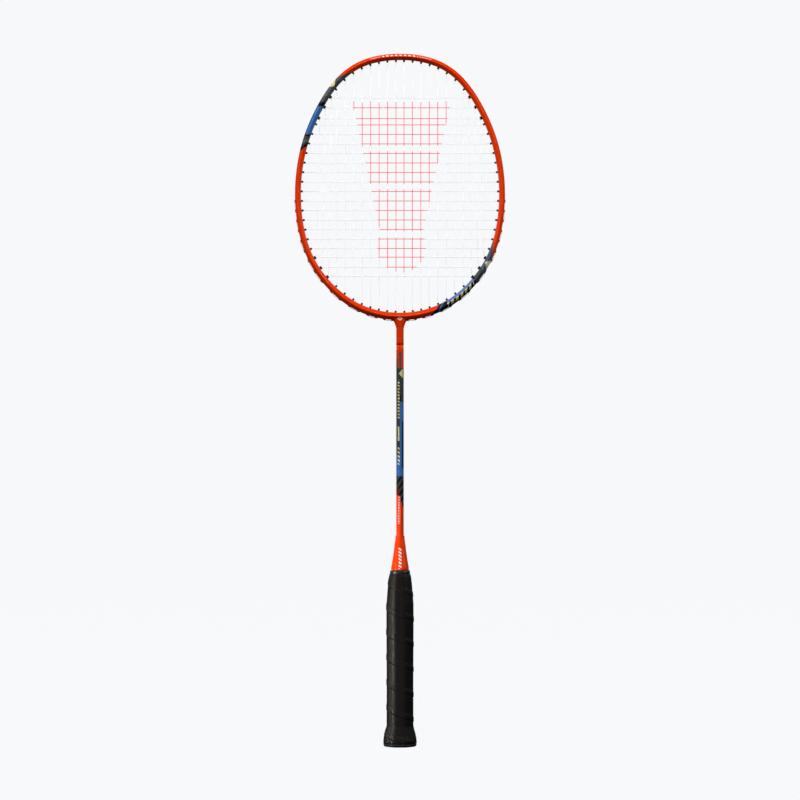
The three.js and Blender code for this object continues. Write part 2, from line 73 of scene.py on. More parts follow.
# The hoop's centreline is a cosine series about its centre, from the tip.
HOOP_CENTRE_Z = 542.3
HOOP_SERIES = (112.85, 1.8, 14, 1.9, 0.5, 0, -0.3, -0.4, -0.36, -0.12, -0.16)
HOOP_HALF_WIDTH = 2.9
THROAT_EXTRA_WIDTH = 0.75
HOOP_HALF_DEPTH = node_box("frame")[1][1]
SIDE_FLAT = 2.5
RIDGE_FLAT = 0.35
OUTER_ROUND = 0.9
RIDGE_ROUND = 0.7
INNER_ROUND = 1.3
GROOVE_HALF = 2.0
GROOVE_DEPTH = 2.1
GROOVE_END = radians(93)
GROOVE_RUN_OUT = radians(2)

NECK_BOTTOM = node_box("frame")[0][2]
SHAFT_RADIUS = node_box("shaft")[1][0]
SHAFT_BOTTOM = node_box("shaft")[0][2]
SHAFT_BORE = 2.65
FILLET_START = 407.0
FILLET_HALF_SPAN = 7.0
HAIRLINE = 0.05

STRING_RADIUS = 0.34
LAYER = 0.5  # mains lie this far behind the middle, and crosses in front
WEAVE = 0.36
LOOSE_END = 1.2
MAIN_FIRST = 3.9
MAIN_PITCH = 8.23
MAINS_TOP = 8
OUTER_MAINS = (69.2, 75.1, 81.0)
OUTER_MAIN_LEAN = 1.4
CROSS_FIRST = 633.7
CROSS_PITCH = 9.28
CROSSES = 20
SHARED = len(OUTER_MAINS)
SPLAY_FIRST = radians(18)
SPLAY_STEP = radians(6)
TIP_REACH = 1.9
OWN = {"bore": 0.66, "barrel": 1.02, "flange": 1.6}
BOTH = {"bore": 1.15, "barrel": 1.6, "flange": 2.2}
FLANGE_HEIGHT = 0.62
STRIP_BARREL = 0.9
STRIP_OVERHANG = 2.6
STRIP_HALF_WIDTH = 1.55
STRIP_RIM = 0.62
STRIP_MIDDLE = 0.45

WRAP_PITCH = 24.4
WRAP_PHASE = 77.95  # height of one seam at the middle of the front
WRAP_RISE = 0.4
WRAP_GROOVE = 0.16
WRAP_INSET = 0.12
GRIP_CORNER = 3.4


def srgb(red, green, blue):
    """A colour given as 0 to 255 display values, as linear values."""
    def linear(v):
        v /= 255
        return v / 12.92 if v <= 0.04045 else ((v + 0.055) / 1.055) ** 2.4
    return (linear(red), linear(green), linear(blue), 1.0)


ORANGE = srgb(242, 60, 0)
CHARCOAL = srgb(52, 56, 60)
GREY = srgb(96, 100, 104)
BLACK = srgb(16, 17, 19)
BLUE = srgb(66, 116, 186)
LIGHT_BLUE = srgb(112, 134, 196)
SLATE = srgb(84, 94, 118)
GREEN_GREY = srgb(62, 72, 66)
PALE_YELLOW = srgb(222, 214, 150)
BEIGE = srgb(232, 214, 190)
MAROON = srgb(96, 28, 22)
NAVY = srgb(18, 30, 58)
WHITE = srgb(240, 238, 232)
PINK = srgb(244, 168, 150)
INK_RED = srgb(238, 18, 56)
# pale yellow darkened as painted shade, for the right edge of the shaft's arrowhead
SHADED_PALE_YELLOW = srgb(120, 112, 56)
PAPER = srgb(247, 248, 250)
PAPER_GLOW = 1.0

# Printed marks. The stencil is a shuttlecock with its cork down.
BEYOND = 2  # a limit across the shaft that lies past its edge
LOZENGE_Z = 416.8
STENCIL_X = 1.5
CORK_Z = 486
CORK_RADIUS = 24
CORK_TOP = 496
SKIRT_BOTTOM = 502
SKIRT_TOP = 622
SKIRT_HALF = 21
SKIRT_FLARE = 0.215
SKIRT_GAPS = ((543, 548), (580, 585))
SCALLOP_HEIGHT = 9
SCALLOP_TURN = 0.19


# ---- node materials

class Paint:
    """A Principled material built from helpers that take numbers or each other's outputs."""

    def __init__(self, name):
        self.material = bpy.data.materials.new(name)
        self.material.use_nodes = True
        self.tree = self.material.node_tree
        self.shader = self.tree.nodes["Principled BSDF"]
        self.layers = None

    def link(self, source, socket):
        if hasattr(source, "is_output"):
            self.tree.links.new(source, socket)
        else:
            socket.default_value = source

    def node(self, kind, **inputs):
        node = self.tree.nodes.new("ShaderNode" + kind)
        for key, value in inputs.items():
            self.link(value, node.inputs[key])
        return node

    def set(self, **values):
        """Sets uniform values straight on the shader's own sockets."""
        for key, value in values.items():
            socket = key.replace("_", " ").title().replace("Ior", "IOR")
            self.shader.inputs[socket].default_value = value

    def math(self, operation, first, second=0.0, clamp=False):
        node = self.node("Math")
        node.operation = operation
        node.use_clamp = clamp
        self.link(first, node.inputs[0])
        self.link(second, node.inputs[1])
        return node.outputs[0]

    def mix(self, factor, first, second):
        node = self.node("Mix")
        node.data_type = "RGBA"
        self.link(factor, node.inputs["Factor"])
        self.link(first, node.inputs[6])
        self.link(second, node.inputs[7])
        return node.outputs[2]

    def attribute(self, name):
        node = self.node("Attribute")
        node.attribute_name = name
        return node.outputs["Fac"]

    def place(self):
        """The point's X, Y and Z in millimetres."""
        split = self.node("SeparateXYZ")
        self.link(self.node("TexCoord").outputs["Object"], split.inputs[0])
        return [self.math("MULTIPLY", out, 1 / MM) for out in split.outputs]

    def texture(self, kind, stretch=(1, 1, 1), **inputs):
        """A texture node laid out in the object's own space."""
        mapping = self.node("Mapping", Scale=stretch)
        self.link(self.node("TexCoord").outputs["Object"], mapping.inputs["Vector"])
        return self.node(kind, Vector=mapping.outputs[0], **inputs)

    def noise(self, scale, detail=2.0, roughness=0.5, stretch=(1, 1, 1)):
        node = self.texture("TexNoise", stretch, Scale=scale, Detail=detail, Roughness=roughness)
        return node.outputs["Fac"]

    def cells(self, scale):
        return self.texture("TexVoronoi", Scale=scale).outputs["Distance"]

    def ramp_to(self, value, low, high, start, end):
        limits = {"From Min": low, "From Max": high, "To Min": start, "To Max": end}
        return self.node("MapRange", Value=value, **limits).outputs[0]

    def bump(self, height, strength, distance, socket="Normal"):
        node = self.node("Bump", Strength=strength, Distance=distance * MM, Height=height)
        self.link(node.outputs[0], self.shader.inputs[socket])

    def colour(self, source):
        self.link(source, self.shader.inputs["Base Color"])

    def roughen(self, scale, detail, smoothest, roughest):
        patches = self.ramp_to(self.noise(scale, detail), 0.3, 0.7, smoothest, roughest)
        self.link(patches, self.shader.inputs["Roughness"])

    def lay(self, shade, *masks):
        """Covers the layers so far with a shade where every mask is 1."""
        self.layers = self.mix(reduce(self.both, masks), self.layers, shade)

    def show_layers(self):
        """Uses the layers as the base colour and as the tint of reflections."""
        self.colour(self.layers)
        self.link(self.layers, self.shader.inputs["Specular Tint"])

    # masks, 0 or 1 with a short soft edge

    def above(self, value, limit, soft=0.12):
        shifted = self.math("SUBTRACT", value, limit)
        return self.math("DIVIDE", shifted, soft, clamp=True)

    def below(self, value, limit, soft=0.12):
        return self.math("SUBTRACT", 1, self.above(value, limit, soft))

    def inside(self, value, low, high, soft=0.12):
        return self.both(self.above(value, low, soft), self.below(value, high, soft))

    def window(self, along, across, soft=0.12):
        """A patch of a tube, each way given as (value, low, high)."""
        return self.both(self.inside(*along, soft), self.inside(*across, 0.05))

    def both(self, first, second):
        return self.math("MULTIPLY", first, second)

    def either(self, first, second):
        return self.math("MAXIMUM", first, second)

    def distance(self, first, second):
        squares = self.math("ADD", self.math("POWER", first, 2), self.math("POWER", second, 2))
        return self.math("SQRT", squares)

    def slanted(self, across, inner, outer):
        """A limit that runs straight from the value at across = -1 to that at +1."""
        slope = self.math("MULTIPLY", across, (outer - inner) / 2)
        return self.math("ADD", slope, (outer + inner) / 2)

    def dashes(self, along, across, pitch, lean, share):
        """Slanted bars that repeat: 1 on a bar."""
        leaning = self.math("MULTIPLY", across, lean)
        phase = self.math("ADD", along, leaning)
        part = self.math("FRACT", self.math("DIVIDE", phase, pitch))
        return self.above(self.math("SUBTRACT", share, part), 0.0, 0.05)


def lacquer(paint):
    """Tinted lacquer over the layers, with dark flecks and the faint ripple of spraying."""
    paint.lay(BLACK, paint.ramp_to(paint.noise(1500, 2), 0.35, 0.8, 0, 0.1))
    paint.show_layers()
    paint.bump(paint.noise(900, 2), 0.05, 0.05)
    paint.bump(paint.noise(260, 1), 0.06, 0.04, "Coat Normal")
    paint.roughen(140, 3, 0.26, 0.36)
    paint.set(specular_ior_level=0.6, coat_weight=0.22, coat_roughness=0.05)
    return paint.material


def mottled(paint, colour, scale=60, amount=0.12):
    """A paint colour with slow, slight changes in depth."""
    darker = tuple(v * (1 - amount) for v in colour[:3]) + (1.0,)
    return paint.mix(paint.noise(scale, 3), darker, colour)


def frame_paint():
    """Orange lacquer with slanted bands, placed by degrees round the hoop from its tip.

    across runs from -1 on the hoop's inside to 1 on its outside.
    """
    paint = Paint("frame_lacquer")
    x, y, z = paint.place()
    across = paint.attribute("across")
    height = paint.math("SUBTRACT", z, HOOP_CENTRE_Z)
    right = paint.math("MULTIPLY", paint.math("ARCTAN2", x, height), 180 / PI)
    left = paint.math("MULTIPLY", right, -1)
    paint.layers = mottled(paint, ORANGE)

    def strip(turn, start, end, soft=0.2):
        """A mask between two slanted limits, each (inner edge, outer edge)."""
        limits = (paint.slanted(across, *start), paint.slanted(across, *end))
        return paint.inside(turn, *limits, soft)

    def band(turn, start, end, shade):
        paint.lay(shade, strip(turn, start, end, 0.18))

    streak = paint.noise(55, 2, stretch=(1, 1, 5))
    # upper left
    band(left, (22, 29.5), (41, 45), paint.mix(streak, CHARCOAL, GREY))
    wedge = strip(left, (33.0, 30.2), (31.4, 34.4))
    paint.lay(PALE_YELLOW, wedge, paint.above(across, -0.3, 0.1))
    band(left, (35.5, 38), (36.2, 40), GREY)
    band(left, (40, 42.8), (42.2, 45.2), BLACK)
    band(left, (42.2, 45.2), (58, 59.8), mottled(paint, BLUE, 90, 0.2))
    rim = paint.above(across, 0.72, 0.08)
    paint.lay(NAVY, paint.inside(left, 45, 59, 1.5), rim)
    band(left, (58, 59.8), (59.2, 61), BLACK)
    band(left, (59.2, 61), (64.6, 69.2), GREEN_GREY)
    band(left, (60.6, 63.4), (61.6, 64.8), GREY)
    band(left, (62.8, 66.6), (64.6, 68.8), BLACK)
    # lower right
    band(right, (118, 127.4), (139.4, 140.6), paint.mix(streak, SLATE, GREEN_GREY))
    paint.lay(BEIGE, strip(right, (131.0, 127.4), (129.8, 132.6)))
    band(right, (133.4, 136), (139.4, 140.8), GREEN_GREY)
    band(right, (139.4, 140.8), (157.6, 160.2), BLACK)
    inner_side = paint.math("LESS_THAN", across, -0.2)
    ink = paint.both(paint.inside(right, 140.6, 157.2, 0.2), inner_side)
    paint.lay(mottled(paint, LIGHT_BLUE, 90, 0.25), ink)
    patch = paint.window((right, 141.4, 157.4), (across, -0.28, 0.62), 0.15)
    paint.lay(PALE_YELLOW, paint.dashes(right, across, 2.7, -1.1, 0.56), patch)
    band(right, (157.6, 160.2), (160.6, 166.2), NAVY)
    band(right, (158.6, 162), (159.4, 163.4), SLATE)
    # pale dashes on the outer bevel at the tip; on each side a thin white line is a painted highlight,
    # the streak of light along the outer bevel at the top
    tip = paint.window((right, -7.6, 7.6), (across, 0.16, 0.58), 0.1)
    paint.lay(WHITE, tip, paint.dashes(right, across, 1.9, 0.7, 0.6))
    # Painted highlight: a thin white streak of light along the top of the outer bevel, beside the
    # dashes.
    highlight_streak = paint.window((right, -13, 13.5), (across, 0.3, 0.42), 0.1)
    paint.lay(WHITE, highlight_streak, paint.above(paint.math("ABSOLUTE", right), 8.2))
    # lozenge outline on the front of the throat
    sideways = paint.math("MULTIPLY", paint.math("ABSOLUTE", x), 0.75)
    upward = paint.math("ABSOLUTE", paint.math("SUBTRACT", z, LOZENGE_Z))
    outline = paint.inside(paint.math("ADD", sideways, upward), 0.9, 1.9, 0.08)
    paint.lay(WHITE, outline, paint.math("LESS_THAN", y, 0))
    return lacquer(paint)


def shaft_paint():
    """Bands and marks along the shaft; across runs from -1 on the left to 1 on the right."""
    paint = Paint("shaft_lacquer")
    x, _, z = paint.place()
    across = paint.math("DIVIDE", x, SHAFT_RADIUS)
    paint.layers = mottled(paint, ORANGE)

    def window(bottom, top, low, high, soft=0.12):
        return paint.window((z, bottom, top), (across, low, high), soft)

    streak = paint.noise(120, 2, stretch=(1, 1, 0.08))
    # maroon and dark stripes run out into the orange under the neck
    paint.lay(paint.mix(streak, MAROON, GREY), window(368.4, 384.2, -0.3, 0.36, 0.15))
    paint.lay(GREEN_GREY, window(368.4, 377, -1.1, -0.62, 0.15))
    body = paint.inside(z, 247, 368.4, 0.1)
    paint.lay(paint.mix(streak, CHARCOAL, GREEN_GREY), body)
    # blue on the right from a slanted start, and all round lower down
    blue = paint.below(z, paint.slanted(across, 338.5, 334.4), 0.2)
    blue = paint.both(blue, paint.above(z, 262, 0.3))
    extent = paint.either(paint.above(across, -0.05, 0.04), paint.below(z, 283.5, 1.0))
    paint.lay(mottled(paint, BLUE, 90, 0.25), blue, extent)
    paint.lay(NAVY, window(270, 316, 0.5, BEYOND, 2.0))
    paint.lay(BLACK, window(335.5, 342, 0.0, 0.22, 0.4))
    # pale arrowhead, darker along its right edge as painted shade where the shaft turns from the light
    middle = paint.math("ABSOLUTE", paint.math("SUBTRACT", z, 363.3))
    reach = paint.math("DIVIDE", paint.math("SUBTRACT", 4.4, middle), 4.6)
    point = paint.above(across, paint.math("SUBTRACT", 0.62, reach), 0.05)
    paint.lay(PALE_YELLOW, point, paint.inside(z, 359, 367.6))
    # Painted shade: the arrowhead's right edge, where the shaft turns away from the light, is laid in
    # darker yellow.
    paint.lay(SHADED_PALE_YELLOW, window(359, 367.6, 0.66, BEYOND))
    # plain rows of marks and a bar on the left half
    upper, lower = window(318, 357, -0.66, -0.14), window(274.5, 292, -0.66, -0.08)
    paint.lay(PALE_YELLOW, paint.dashes(z, across, 3.1, 0.9, 0.5), upper)
    paint.lay(PALE_YELLOW, paint.dashes(z, across, 3.9, 2.2, 0.5), lower)
    paint.lay(PALE_YELLOW, window(297.5, 311.5, -0.6, -0.2))
    # dark diagonals where the blue gives way to orange
    foot = paint.above(z, paint.slanted(across, 252.5, 230), 0.3)
    foot = paint.both(paint.inside(z, 232.5, 263, 0.3), foot)
    diagonals = paint.dashes(z, across, 7.5, -5.5, 0.55)
    paint.lay(paint.mix(diagonals, BLACK, GREEN_GREY), foot)
    paint.lay(MAROON, window(244.6, 252.5, -1.1, -0.3))
    # pale tally marks low on the shaft
    tally = paint.dashes(z, across, 2.6, 0.0, 0.7)
    paint.lay(PINK, window(216.5, 243.5, -0.62, 0.02), tally)
    return lacquer(paint)


def cone_paint():
    """Orange plastic with a column of plain white bars on the front."""
    paint = Paint("cone_plastic")
    x, y, z = paint.place()
    paint.layers = mottled(paint, ORANGE, 90, 0.1)
    column = paint.both(paint.math("LESS_THAN", y, 0), paint.inside(x, -1.4, 1.4, 0.08))
    bars = paint.both(paint.inside(z, 173, 193.5, 0.1), paint.dashes(z, x, 3.3, 0.6, 0.55))
    paint.lay(WHITE, column, bars)
    paint.show_layers()
    paint.bump(paint.noise(1400, 3), 0.08, 0.05)
    paint.roughen(200, 3, 0.28, 0.4)
    paint.set(specular_ior_level=0.8, coat_weight=0.15, coat_roughness=0.12)
    return paint.material


def shuttlecock(paint):
    """The mask of the stencil on the strings: a cork below a skirt crossed by two gaps."""
    x, _, z = paint.place()
    sideways = paint.math("ABSOLUTE", paint.math("SUBTRACT", x, STENCIL_X))
    cork = paint.distance(sideways, paint.math("SUBTRACT", z, CORK_Z))
    cork = paint.math("LESS_THAN", cork, CORK_RADIUS)
    cork = paint.both(cork, paint.math("LESS_THAN", z, CORK_TOP))
    flare = paint.math("MULTIPLY", paint.math("SUBTRACT", z, SKIRT_BOTTOM), SKIRT_FLARE)
    edge = paint.math("ADD", flare, SKIRT_HALF)
    scallop = paint.math("ABSOLUTE", paint.math("SINE", paint.math("MULTIPLY", x, SCALLOP_TURN)))
    top = paint.math("ADD", paint.math("MULTIPLY", scallop, SCALLOP_HEIGHT), SKIRT_TOP)
    skirt = paint.both(paint.above(z, SKIRT_BOTTOM), paint.math("LESS_THAN", sideways, edge))
    skirt = paint.both(skirt, paint.math("LESS_THAN", z, top))
    gaps = paint.either(*(paint.inside(z, *gap) for gap in SKIRT_GAPS))
    return paint.either(cork, paint.both(skirt, paint.math("SUBTRACT", 1, gaps)))


def string_nylon():
    """White string and a red stencil, both given a painted glow: their emission stands in for the light
    passing through the string.
    """
    paint = Paint("string_nylon")
    twist = paint.noise(5200, 2)
    paint.layers = paint.mix(twist, srgb(226, 231, 239), srgb(246, 249, 253))
    worn = paint.ramp_to(paint.noise(420, 3), 0.2, 0.7, 0.88, 1.0)
    paint.lay(INK_RED, shuttlecock(paint), worn)
    paint.colour(paint.layers)
    # Painted glow: the string and its stencil emit their own colour, standing in for light passing
    # through the nylon.
    paint.link(paint.layers, paint.shader.inputs["Emission Color"])
    paint.bump(twist, 0.25, 0.05)
    paint.set(roughness=0.32, coat_weight=0.2, coat_roughness=0.2, emission_strength=0.33)
    return paint.material


def black_nylon():
    paint = Paint("grommet_nylon")
    paint.colour(paint.mix(paint.noise(700, 3), srgb(9, 9, 10), srgb(22, 22, 23)))
    paint.bump(paint.noise(2600, 3), 0.2, 0.04)
    paint.roughen(900, 2, 0.38, 0.55)
    paint.set(specular_ior_level=0.25)
    return paint.material


def grip_leather():
    """Tacky synthetic leather: fine pebbled grain and a worn, slightly paler edge at each turn."""
    paint = Paint("grip_leather")
    pebbles = paint.cells(1500)
    creases = paint.noise(650, 4, 0.6)
    pores = paint.cells(520)
    edge = paint.attribute("edge")
    paint.layers = paint.mix(creases, srgb(8, 7, 7), srgb(20, 18, 17))
    paint.lay(srgb(40, 37, 34), paint.math("MULTIPLY", edge, 0.3))
    paint.lay(srgb(6, 6, 6), paint.ramp_to(pores, 0.0, 0.12, 0.6, 0.0))
    paint.colour(paint.layers)
    grain = paint.math("ADD", paint.math("MULTIPLY", pebbles, 0.6), paint.math("MULTIPLY", creases, 0.8))
    paint.bump(grain, 0.35, 0.12)
    paint.roughen(180, 3, 0.42, 0.58)
    paint.set(specular_ior_level=0.16)
    return paint.material


def vinyl_tape():
    paint = Paint("tape_vinyl")
    wrinkles = paint.noise(160, 3, stretch=(1, 1, 6))
    paint.colour(paint.mix(wrinkles, srgb(14, 14, 15), srgb(34, 34, 36)))
    paint.bump(wrinkles, 0.3, 0.15)
    paint.roughen(300, 2, 0.25, 0.4)
    return paint.material


def cap_plastic():
    paint = Paint("cap_plastic")
    paint.colour(paint.mix(paint.noise(420, 3), srgb(10, 10, 10), srgb(22, 22, 23)))
    paint.bump(paint.cells(2400), 0.25, 0.06)
    paint.roughen(240, 3, 0.45, 0.6)
    paint.set(specular_ior_level=0.2)
    return paint.material


def badge_print():
    """A printed disc with plain rings."""
    paint = Paint("badge_print")
    x, y, _ = paint.place()
    radius = paint.distance(x, y)
    paint.layers = mottled(paint, ORANGE, 200, 0.1)
    paint.lay(WHITE, paint.inside(radius, 5.9, 6.5, 0.06))
    paint.lay(CHARCOAL, paint.below(radius, 3.2, 0.06))
    paint.colour(paint.layers)
    paint.bump(paint.noise(1800, 2), 0.05, 0.03)
    paint.set(roughness=0.3, coat_weight=0.8, coat_roughness=0.1)
    return paint.material


def raw_carbon():
    paint = Paint("carbon_moulding")
    weave = paint.noise(900, 2, stretch=(1, 1, 0.15))
    paint.colour(paint.mix(weave, srgb(20, 21, 23), srgb(44, 46, 50)))
    paint.bump(weave, 0.3, 0.08)
    paint.set(roughness=0.42)
    return paint.material


def pale_wood():
    paint = Paint("handle_wood")
    rings = paint.noise(110, 4, 0.6, stretch=(1, 1, 0.06))
    fibres = paint.noise(1400, 3, stretch=(1, 1, 0.04))
    colour = paint.mix(rings, srgb(176, 136, 88), srgb(216, 184, 138))
    paint.colour(paint.mix(paint.ramp_to(fibres, 0.4, 0.8, 0, 0.35), colour, srgb(140, 100, 58)))
    paint.bump(fibres, 0.3, 0.1)
    paint.set(roughness=0.65)
    return paint.material


def staple_steel():
    paint = Paint("staple_steel")
    drawn = paint.noise(2600, 2, stretch=(0.05, 1, 1))
    paint.colour(paint.mix(drawn, srgb(150, 152, 155), srgb(196, 198, 201)))
    paint.bump(drawn, 0.15, 0.03)
    paint.set(metallic=1.0, roughness=0.32)
    return paint.material


def floor_paper():
    """White paper, lit mostly from within so that it stays even."""
    paint = Paint("floor_paper")
    paint.colour(paint.mix(paint.noise(6, 2), srgb(18, 18, 18), srgb(21, 21, 21)))
    paint.set(roughness=0.9, specular_ior_level=0.0, emission_color=PAPER, emission_strength=PAPER_GLOW)
    return paint.material


# ---- mesh helpers

def add_object(name, data):
    item = bpy.data.objects.new(name, data)
    scene.collection.objects.link(item)
    return item


def add_mesh(name, points, faces, material, attributes=None, closed=True):
    mesh = bpy.data.meshes.new(name)
    mesh.from_pydata([tuple(v * MM for v in p) for p in points], [], faces)
    for key, values in (attributes or {}).items():
        layer = mesh.attributes.new(key, "FLOAT", "POINT")
        layer.data.foreach_set("value", values)
    if closed:
        work = bmesh.new()
        work.from_mesh(mesh)
        bmesh.ops.recalc_face_normals(work, faces=work.faces)
        work.to_mesh(mesh)
        work.free()
    mesh.polygons.foreach_set("use_smooth", [True] * len(mesh.polygons))
    mesh.materials.append(material)
    return add_object(name, mesh)


class Shell:
    """Points and faces gathered from rings of points."""

    def __init__(self):
        self.points = []
        self.faces = []
        self.values = {}

    def rings(self, rings, looped=False, **values):
        """Joins rings of equally many points; looped joins the last to the first."""
        start = len(self.points)
        size = len(rings[0])
        for ring in rings:
            self.points.extend(ring)
        for key, numbers in values.items():
            self.values.setdefault(key, []).extend(numbers)
        count = len(rings)
        for i in range(count if looped else count - 1):
            here = start + i * size
            there = start + (i + 1) % count * size
            for j in range(size):
                k = (j + 1) % size
                self.faces.append((here + j, here + k, there + k, there + j))
        if not looped:
            self.faces.append(tuple(range(start, start + size)))
            last = start + (count - 1) * size
            self.faces.append(tuple(reversed(range(last, last + size))))
        return self

    def stand_for(self, node, slot, name, material):
        """Builds the mesh as the finished look of a CAD node."""
        piece = add_mesh(name, self.points, self.faces, material, self.values)
        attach(piece, "root")
        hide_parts(node)


def bend(start, corner, end, steps):
    """Points of a curve from start to end that is drawn towards the corner."""
    shares = [j / steps for j in range(steps + 1)]
    return [start * (1 - t) ** 2 + corner * 2 * t * (1 - t) + end * t ** 2 for t in shares]


def rounded(corners, steps=4):
    """A closed outline through (x, y, radius) corners with each corner rounded off."""
    outline = []
    for i, (x, y, radius) in enumerate(corners):
        here = Vector((x, y))
        before = Vector(corners[i - 1][:2]) - here
        after = Vector(corners[(i + 1) % len(corners)][:2]) - here
        reach = min(radius, before.length * 0.48, after.length * 0.48)
        start = here + before.normalized() * reach
        end = here + after.normalized() * reach
        outline += bend(start, here, end, steps)
    return outline


def resample(outline, count):
    """The closed outline as equally spaced points."""
    lengths = [0.0]
    for i, point in enumerate(outline):
        lengths.append(lengths[-1] + (outline[(i + 1) % len(outline)] - point).length)
    spaced = []
    segment = 0
    for k in range(count):
        target = lengths[-1] * k / count
        while lengths[segment + 1] < target:
            segment += 1
        t = (target - lengths[segment]) / max(1e-9, lengths[segment + 1] - lengths[segment])
        spaced.append(outline[segment].lerp(outline[(segment + 1) % len(outline)], t))
    return spaced


def circle(radius, sides):
    turns = [2 * PI * k / sides for k in range(sides)]
    return [(radius * cos(turn), radius * sin(turn)) for turn in turns]


def turned(profile, sides):
    """Rings of a body of revolution about Z from (radius, height) points."""
    return [[(x, y, z) for x, y in circle(r, sides)] for r, z in profile]


def smooth_step(t):
    """0 up to t = 0, 1 from t = 1, eased between."""
    t = max(0.0, min(1.0, t))
    return t * t * (3 - 2 * t)


# ---- hoop shape

def hoop_at(angle):
    """Centreline point (x, z), outward normal (x, z) and half-width at an angle from the tip."""
    r = sum(c * cos(k * angle) for k, c in enumerate(HOOP_SERIES))
    slope = sum(-c * k * sin(k * angle) for k, c in enumerate(HOOP_SERIES))
    along_x = slope * sin(angle) + r * cos(angle)
    along_z = slope * cos(angle) - r * sin(angle)
    length = hypot(along_x, along_z)
    low = (1 - cos(angle)) / 2
    return {
        "angle": angle,
        "x": r * sin(angle),
        "z": HOOP_CENTRE_Z + r * cos(angle),
        "nx": -along_z / length,
        "nz": along_x / length,
        "half": HOOP_HALF_WIDTH + THROAT_EXTRA_WIDTH * low ** 8,
    }


def on_hoop(angle, out, y):
    at = hoop_at(angle)
    return (at["x"] + at["nx"] * out, y, at["z"] + at["nz"] * out)


def groove_share(angle):
    """1 where the outside is grooved, 0 where it is plain, with a short run-out."""
    turn = abs((angle + PI) % (2 * PI) - PI)
    return 1 - smooth_step((turn - GROOVE_END) / GROOVE_RUN_OUT)


def hoop_section(half, share):
    """The tube's outline as (out, y) points: flat sides, sloping bevels, rounded ridges."""
    depth = max(0.02, GROOVE_DEPTH * share)
    floor = half - depth
    lip = 0.35 * share + 0.01
    back = [(floor, GROOVE_HALF, lip), (half, GROOVE_HALF, lip), (half, SIDE_FLAT, OUTER_ROUND),
            (RIDGE_FLAT, HOOP_HALF_DEPTH, RIDGE_ROUND), (-RIDGE_FLAT, HOOP_HALF_DEPTH, RIDGE_ROUND),
            (-half, SIDE_FLAT, INNER_ROUND)]
    front = [(out, -y, radius) for out, y, radius in reversed(back)]
    return rounded(front[3:] + back + front[:3])


# ---- string holes

def hole_at(angle, splay=0.0):
    at = hoop_at(angle)
    at["dx"] = at["nx"] * cos(splay) - at["nz"] * sin(splay)
    at["dz"] = at["nz"] * cos(splay) + at["nx"] * sin(splay)
    at["splay"] = splay
    at["tip"] = at["half"] / cos(splay) + TIP_REACH
    return at


def tip_x(hole):
    return hole["x"] - hole["dx"] * hole["tip"]


def tip_z(hole):
    return hole["z"] - hole["dz"] * hole["tip"]


def find_hole(measure, wanted, start, end, splay=0.0):
    rising = measure(hole_at(end, splay)) > measure(hole_at(start, splay))
    low, high = start, end
    for _ in range(40):
        middle = (low + high) / 2
        if (measure(hole_at(middle, splay)) > wanted) == rising:
            high = middle
        else:
            low = middle
    return hole_at((low + high) / 2, splay)


def shared_hole(x, z, start, end):
    by_x = find_hole(tip_x, x, start, end)
    by_z = find_hole(tip_z, z, start, end)
    return hole_at((by_x["angle"] + by_z["angle"]) / 2)


def main_x(k):
    return MAIN_FIRST + MAIN_PITCH * k


def cross_z(k):
    return CROSS_FIRST - CROSS_PITCH * k


def right_holes():
    holes = []
    top, side, bottom = 0.001, PI / 2, PI - 0.001
    for k in range(MAINS_TOP):
        high = find_hole(tip_x, main_x(k), top, side)
        holes.append({**high, "size": OWN, "top_main": k})
        splay = max(0.0, SPLAY_FIRST - SPLAY_STEP * k)
        low = find_hole(tip_x, main_x(k), bottom, side, splay)
        holes.append({**low, "size": OWN, "bottom_main": k, "node": f"grommet_main_{k + 1}"})
    for i, x in enumerate(OUTER_MAINS):
        low_cross = CROSSES - 1 - i
        high = shared_hole(x - OUTER_MAIN_LEAN, cross_z(i), top, side)
        holes.append({**high, "size": BOTH, "top_main": MAINS_TOP + i, "cross": i})
        low = shared_hole(x + OUTER_MAIN_LEAN, cross_z(low_cross), side, bottom)
        holes.append({**low, "size": BOTH, "bottom_main": MAINS_TOP + i, "cross": low_cross,
                      "node": f"grommet_row_{low_cross + 1}"})
    for k in range(SHARED, CROSSES - SHARED):
        hole = find_hole(tip_z, cross_z(k), 0.3, 2.6)
        holes.append({**hole, "size": OWN, "cross": k, "node": f"grommet_row_{k + 1}"})
    return holes


def placed(hole, side):
    sunk = groove_share(hole["angle"]) > 0.5
    hole = dict(hole, side=side, x=side * hole["x"], dx=side * hole["dx"])
    if sunk:
        hole["seat"] = hole["half"] - GROOVE_DEPTH
        hole["end"] = hole["seat"] + STRIP_BARREL
    else:
        hole["seat"] = hole["half"] / cos(hole["splay"])
        slant = hole["size"]["barrel"] * tan(hole["splay"])
        hole["end"] = hole["seat"] + FLANGE_HEIGHT + slant
    if hole["size"] is BOTH:
        hole["y"] = 0.0
    else:
        hole["y"] = -LAYER if "cross" in hole else LAYER
    return hole


HOLES = [placed(hole, side) for side in (-1, 1) for hole in right_holes()]


def pick(side, key, k):
    return next(h for h in HOLES if h["side"] == side and h.get(key) == k)


def along_hole(hole, out, across, depth):
    """A point given along a hole, across it in the hoop's plane, and in depth."""
    return (hole["x"] + hole["dx"] * out - hole["dz"] * across,
            hole["y"] + depth,
            hole["z"] + hole["dz"] * out + hole["dx"] * across)


# ---- frame

def hoop_shell(shell):
    stations = 540
    rings = []
    across = []
    for i in range(stations):
        angle = 2 * PI * i / stations
        at = hoop_at(angle)
        outline = hoop_section(at["half"], groove_share(angle))
        rings.append([(at["x"] + at["nx"] * p.x, p.y, at["z"] + at["nz"] * p.x) for p in outline])
        across.extend(p.x / at["half"] for p in outline)
    shell.rings(rings, looped=True, across=across)


